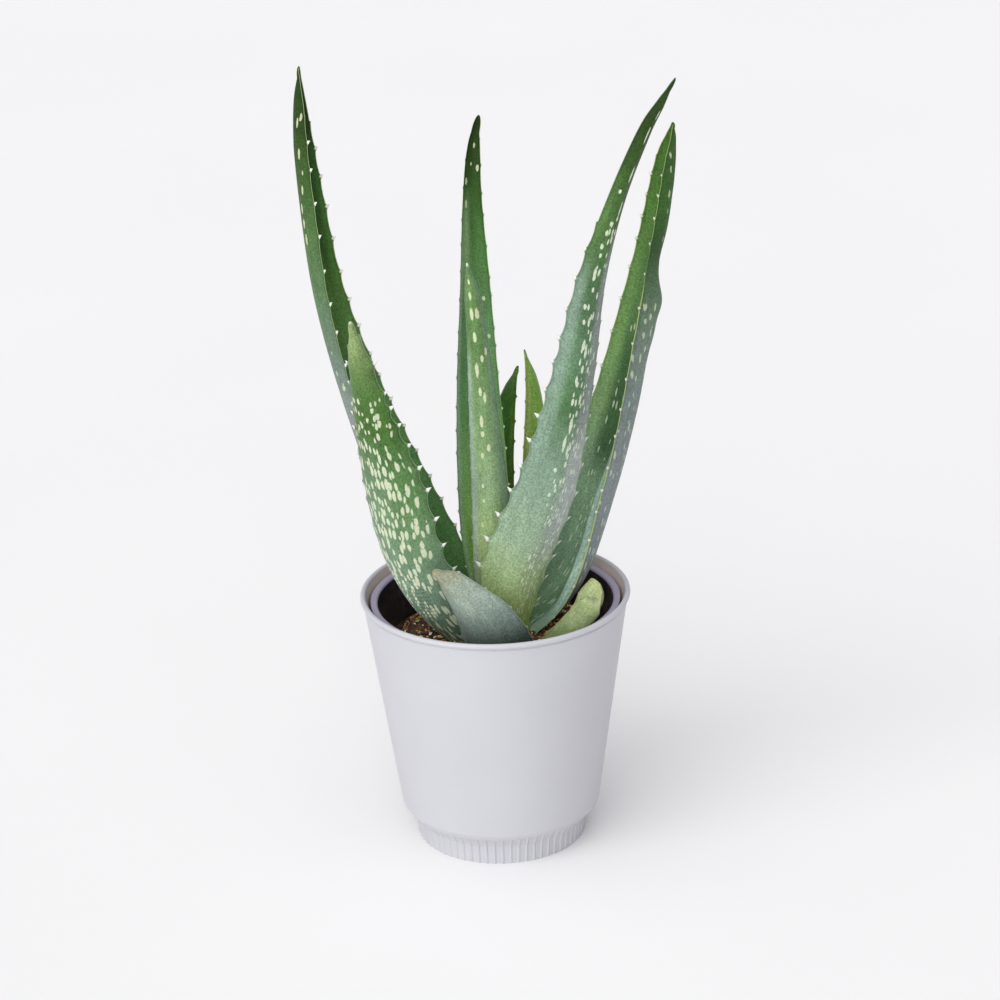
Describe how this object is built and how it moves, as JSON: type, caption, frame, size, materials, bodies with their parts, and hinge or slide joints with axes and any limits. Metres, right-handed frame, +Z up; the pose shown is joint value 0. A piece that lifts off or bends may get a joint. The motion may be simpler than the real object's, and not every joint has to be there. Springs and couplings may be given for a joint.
{
  "type": "potted aloe plant",
  "caption": "Young spotted aloe with long toothed leaves, in a dark growing pot that stands inside a tapered white cover pot with a ribbed foot.",
  "frame": {"origin": "on the pots' common axis, on the surface that the cover pot's foot stands on", "axes": "+Z up along the pots' axis, -Y the front, where the short grey-green leaf lies, and +X to the right seen from the front"},
  "size_m": [0.1869, 0.135, 0.4055],
  "materials": {
    "white_plastic": "satin",
    "dark_plastic": "satin",
    "potting_soil": "matte",
    "leaf_spotted": "satin",
    "leaf_bluish": "satin",
    "leaf_dark": "satin",
    "leaf_light": "satin"
  },
  "bodies": {
    "root": {"outer_pot": "white_plastic", "nursery_pot": "dark_plastic", "soil": "potting_soil", "stem": "leaf_light", "leaf_right_front": "leaf_bluish", "leaf_left_front": "leaf_spotted", "leaf_centre_front": "leaf_spotted", "leaf_right_tall": "leaf_dark", "leaf_centre_tall": "leaf_dark", "leaf_far_left": "leaf_dark", "leaf_back_dark": "leaf_dark", "leaf_back_light": "leaf_light", "leaf_stub_front": "leaf_bluish", "leaf_stub_right": "leaf_light"}
  },
  "joints": []
}
